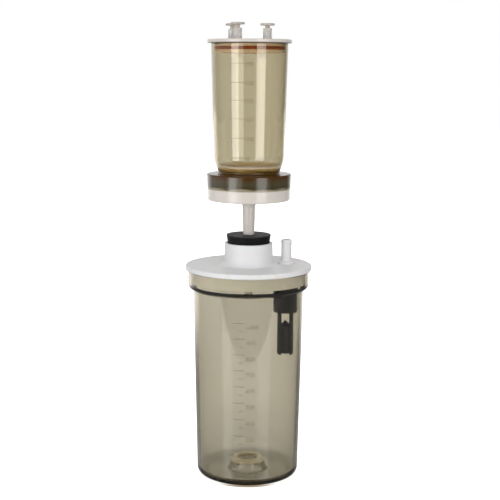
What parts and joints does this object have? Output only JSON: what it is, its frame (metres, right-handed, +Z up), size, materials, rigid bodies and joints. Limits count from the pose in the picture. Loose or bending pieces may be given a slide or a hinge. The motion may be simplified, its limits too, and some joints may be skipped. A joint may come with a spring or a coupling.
{
  "type": "vacuum filtration unit",
  "caption": "Clear filter funnel with a ported lid on a stemmed base, held by a rubber stopper in the lid of a smoky receiver bottle with a hose nozzle and float valve.",
  "frame": {"origin": "centre of the bottle's underside, on the common axis", "axes": "+Z up along the common axis, -Y to the front, +X to the side of the hose nozzle"},
  "size_m": [0.1164, 0.1164, 0.4167],
  "materials": {
    "smoky_clear": "clear, smoky tan, glossy",
    "amber_clear": "clear, amber, glossy",
    "white_opaque": "satin, moulded",
    "natural_translucent": "satin, slightly translucent",
    "black_rubber": "dull, smooth moulded",
    "black_plastic": "satin, moulded",
    "red_silicone": "satin, smooth",
    "clear_silicone": "satin, smooth",
    "white_membrane": "dull, porous film"
  },
  "bodies": {
    "bottle": {"receiver_bottle": "smoky_clear", "receiver_gasket": "black_rubber"},
    "lid": {"receiver_lid": "white_opaque", "vacuum_nozzle": "white_opaque", "nozzle_seal": "black_rubber", "valve_cap": "black_plastic", "float_cage": "black_plastic", "valve_seat": "black_rubber"},
    "float": {"valve_float": "black_plastic"},
    "rubber_stopper": {"stopper": "black_rubber"},
    "base": {"funnel_base": "natural_translucent", "support_screen": "natural_translucent", "membrane_filter": "white_membrane", "membrane_gasket": "clear_silicone"},
    "funnel": {"filter_funnel": "amber_clear"},
    "funnel_cover": {"funnel_lid": "natural_translucent", "funnel_lid_o_ring": "red_silicone"},
    "plug_front_right": {"port_plug_front_right": "natural_translucent"},
    "plug_front_left": {"port_plug_front_left": "natural_translucent"},
    "plug_back_left": {"port_plug_back_left": "natural_translucent"}
  },
  "joints": [
    {"name": "receiver_lid_lift", "type": "slide", "parent": "bottle", "child": "lid", "axis": [0, 0, 1], "range_m": [0, 0.09]},
    {"name": "valve_float_rise", "type": "slide", "parent": "lid", "child": "float", "axis": [0, 0, 1], "range_m": [0, 0.0137]},
    {"name": "stopper_pull", "type": "slide", "parent": "lid", "child": "rubber_stopper", "axis": [0, 0, 1], "range_m": [0, 0.02]},
    {"name": "stem_pull", "type": "slide", "parent": "rubber_stopper", "child": "base", "axis": [0, 0, 1], "range_m": [0, 0.06]},
    {"name": "funnel_twist", "type": "hinge", "parent": "base", "child": "funnel", "pos_m": [0, 0, 0.27], "axis": [0, 0, 1], "range_deg": [0, 60]},
    {"name": "funnel_lid_lift", "type": "slide", "parent": "funnel", "child": "funnel_cover", "axis": [0, 0, 1], "range_m": [0, 0.012]},
    {"name": "plug_front_right_pull", "type": "slide", "parent": "funnel_cover", "child": "plug_front_right", "axis": [0, 0, 1], "range_m": [0, 0.01]},
    {"name": "plug_front_left_pull", "type": "slide", "parent": "funnel_cover", "child": "plug_front_left", "axis": [0, 0, 1], "range_m": [0, 0.01]},
    {"name": "plug_back_left_pull", "type": "slide", "parent": "funnel_cover", "child": "plug_back_left", "axis": [0, 0, 1], "range_m": [0, 0.01]}
  ]
}
